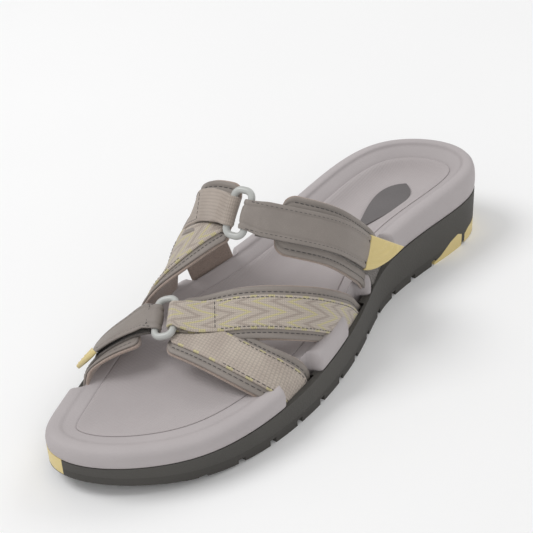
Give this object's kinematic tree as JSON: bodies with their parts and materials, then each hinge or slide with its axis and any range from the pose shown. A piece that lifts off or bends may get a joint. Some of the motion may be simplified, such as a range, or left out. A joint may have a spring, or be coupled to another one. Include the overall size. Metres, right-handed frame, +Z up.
{
  "type": "slide sandal",
  "caption": "Left slide sandal with a cupped footbed, lugged rubber sole and two webbing straps that close through rings with hook-and-loop tabs.",
  "frame": {"origin": "middle of the whole sandal's box, on the ground", "axes": "+Z up, toe towards -Y, heel towards +Y, outer side of this left sandal towards +X"},
  "size_m": [0.0968, 0.2748, 0.0871],
  "materials": {
    "sole_rubber": "matt",
    "sole_foam": "matt, fine pebble grain",
    "board": "matt",
    "footbed_foam": "matt, moulded",
    "footbed_cover": "fine ribbed",
    "badge": "satin",
    "yellow_rubber": "satin",
    "lining": "brushed, foam backed",
    "synthetic_leather": "fine grain",
    "chevron_webbing": "woven herringbone",
    "plain_webbing": "woven fine grid",
    "ring_plastic": "satin",
    "loop_pile": "brushed loops",
    "hook_tape": "small hooks"
  },
  "bodies": {
    "sole": {"outsole": "sole_rubber", "midsole": "sole_foam", "shank": "board", "footbed": "footbed_foam", "footbed_cover": "footbed_cover", "heel_badge": "badge", "toe_bumper": "yellow_rubber", "heel_pod_outer": "yellow_rubber", "heel_pod_inner": "yellow_rubber", "heel_pod_rear": "yellow_rubber", "front_outer_lining": "lining", "front_inner_lining": "lining", "rear_inner_lining": "lining", "rear_outer_lining": "lining", "front_outer_leather": "synthetic_leather", "front_inner_leather": "synthetic_leather", "rear_inner_leather": "synthetic_leather", "rear_outer_leather": "synthetic_leather", "front_chevron_webbing": "chevron_webbing", "rear_chevron_webbing": "chevron_webbing", "front_plain_webbing": "plain_webbing", "rear_plain_webbing": "plain_webbing", "front_loop_strap": "loop_pile", "rear_loop_strap": "loop_pile"},
    "front_ring": {"front_ring": "ring_plastic"},
    "front_tab": {"front_tab_fold": "synthetic_leather", "front_tab": "synthetic_leather", "front_tab_hooks": "hook_tape", "front_tab_tip": "yellow_rubber"},
    "rear_ring": {"rear_ring": "ring_plastic"},
    "rear_tab": {"rear_tab_fold": "synthetic_leather", "rear_tab": "synthetic_leather", "rear_tab_hooks": "hook_tape", "rear_tab_tip": "yellow_rubber"}
  },
  "joints": [
    {"name": "front_ring_tilt", "type": "hinge", "parent": "sole", "child": "front_ring", "pos_m": [-0.01095, -0.06066, 0.04084], "axis": [-0.522, 0.8103, 0.2664], "range_deg": [0, 10]},
    {"name": "front_tab_peel", "type": "hinge", "parent": "front_ring", "child": "front_tab", "pos_m": [-0.01824, -0.06458, 0.03849], "axis": [-0.522, 0.8103, 0.2664], "range_deg": [0, 120], "deforming": ["front_tab_fold"]},
    {"name": "rear_ring_tilt", "type": "hinge", "parent": "sole", "child": "rear_ring", "pos_m": [-0.00534, -0.02421, 0.07745], "axis": [0.1007, -0.6114, -0.7849], "range_deg": [0, 10]},
    {"name": "rear_tab_peel", "type": "hinge", "parent": "rear_ring", "child": "rear_tab", "pos_m": [0.00316, -0.02293, 0.07754], "axis": [0.1007, -0.6114, -0.7849], "range_deg": [0, 120], "deforming": ["rear_tab_fold"]}
  ]
}
